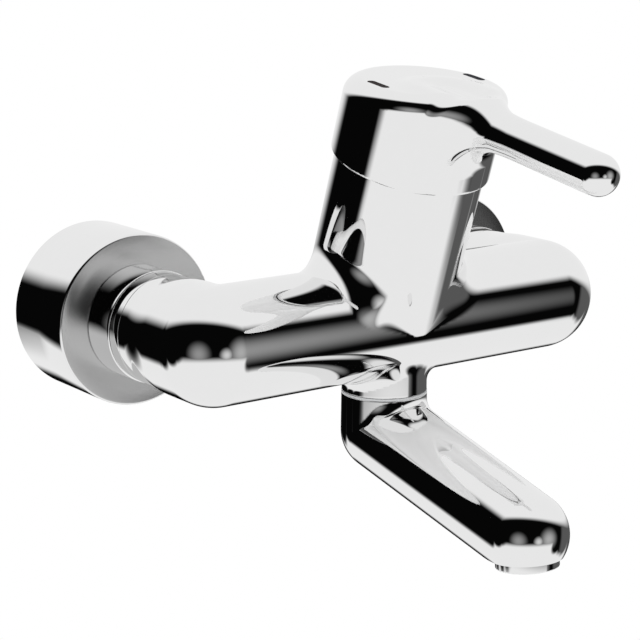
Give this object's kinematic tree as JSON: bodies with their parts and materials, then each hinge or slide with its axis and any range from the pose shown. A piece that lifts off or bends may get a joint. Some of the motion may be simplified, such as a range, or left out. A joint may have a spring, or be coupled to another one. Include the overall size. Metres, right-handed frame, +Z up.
{
  "type": "wall-mounted basin mixer",
  "caption": "Wall-mounted chrome basin mixer with a cross bar, a leaning tower with a slim single lever, round wall rosettes and a swivel spout with aerator.",
  "frame": {"origin": "midway between the two wall inlets, on the finished wall", "axes": "+Y into the wall, -Y towards the user, X along the wall, +Z up"},
  "size_m": [0.214, 0.2196, 0.1672],
  "materials": {
    "chrome": "polished",
    "brass": "machined",
    "seal": "matte",
    "ceramic": "lapped",
    "cartridge_plastic": "moulded",
    "steel": "turned",
    "glide_plastic": "moulded",
    "hot_enamel": "inlaid enamel",
    "cold_enamel": "inlaid enamel"
  },
  "bodies": {
    "fixed": {"body": "chrome", "rosette_left": "chrome", "rosette_right": "chrome", "s_union_left": "brass", "s_union_right": "brass", "union_nut_left": "chrome", "union_nut_right": "chrome", "inlet_bush_left": "chrome", "inlet_bush_right": "chrome", "inlet_washer_left": "seal", "inlet_washer_right": "seal", "cartridge_base": "cartridge_plastic", "port_seals": "seal", "fixed_disc": "ceramic", "cartridge_housing": "cartridge_plastic", "clamp_nut": "brass", "spout_screw": "steel"},
    "turn_stage": {"rotor": "cartridge_plastic", "pivot_pin": "steel", "glide_dome": "chrome"},
    "lever": {"handle": "chrome", "spindle": "brass", "index_hot": "hot_enamel", "index_cold": "cold_enamel", "handle_screw": "steel", "screw_plug": "glide_plastic"},
    "disc_stage": {"moving_disc": "ceramic", "disc_carrier": "cartridge_plastic"},
    "spout": {"spout": "chrome", "spout_spigot": "brass", "spout_orings": "seal", "swivel_ring": "glide_plastic", "aerator_housing": "chrome", "aerator_insert": "glide_plastic", "aerator_seal": "seal"}
  },
  "joints": [
    {"name": "lever_turn", "type": "hinge", "parent": "fixed", "child": "turn_stage", "pos_m": [0, -0.09688, 0.06022], "axis": [0, -0.3239, 0.9461], "range_deg": [-45, 45]},
    {"name": "lever_lift", "type": "hinge", "parent": "turn_stage", "child": "lever", "pos_m": [0, -0.09688, 0.06022], "axis": [-1, 0, 0], "range_deg": [0, 20]},
    {"name": "disc_slide", "type": "slide", "parent": "turn_stage", "child": "disc_stage", "axis": [0, -0.9461, -0.3239], "range_m": [0, 0.00411]},
    {"name": "spout_swivel", "type": "hinge", "parent": "fixed", "child": "spout", "pos_m": [0, -0.0856, -0.0186], "axis": [0, 0, 1], "range_deg": [-70, 70]}
  ],
  "couplings": [
    {"joint": "disc_slide", "follows": "lever_lift", "m_per_rad": 0.0115}
  ]
}
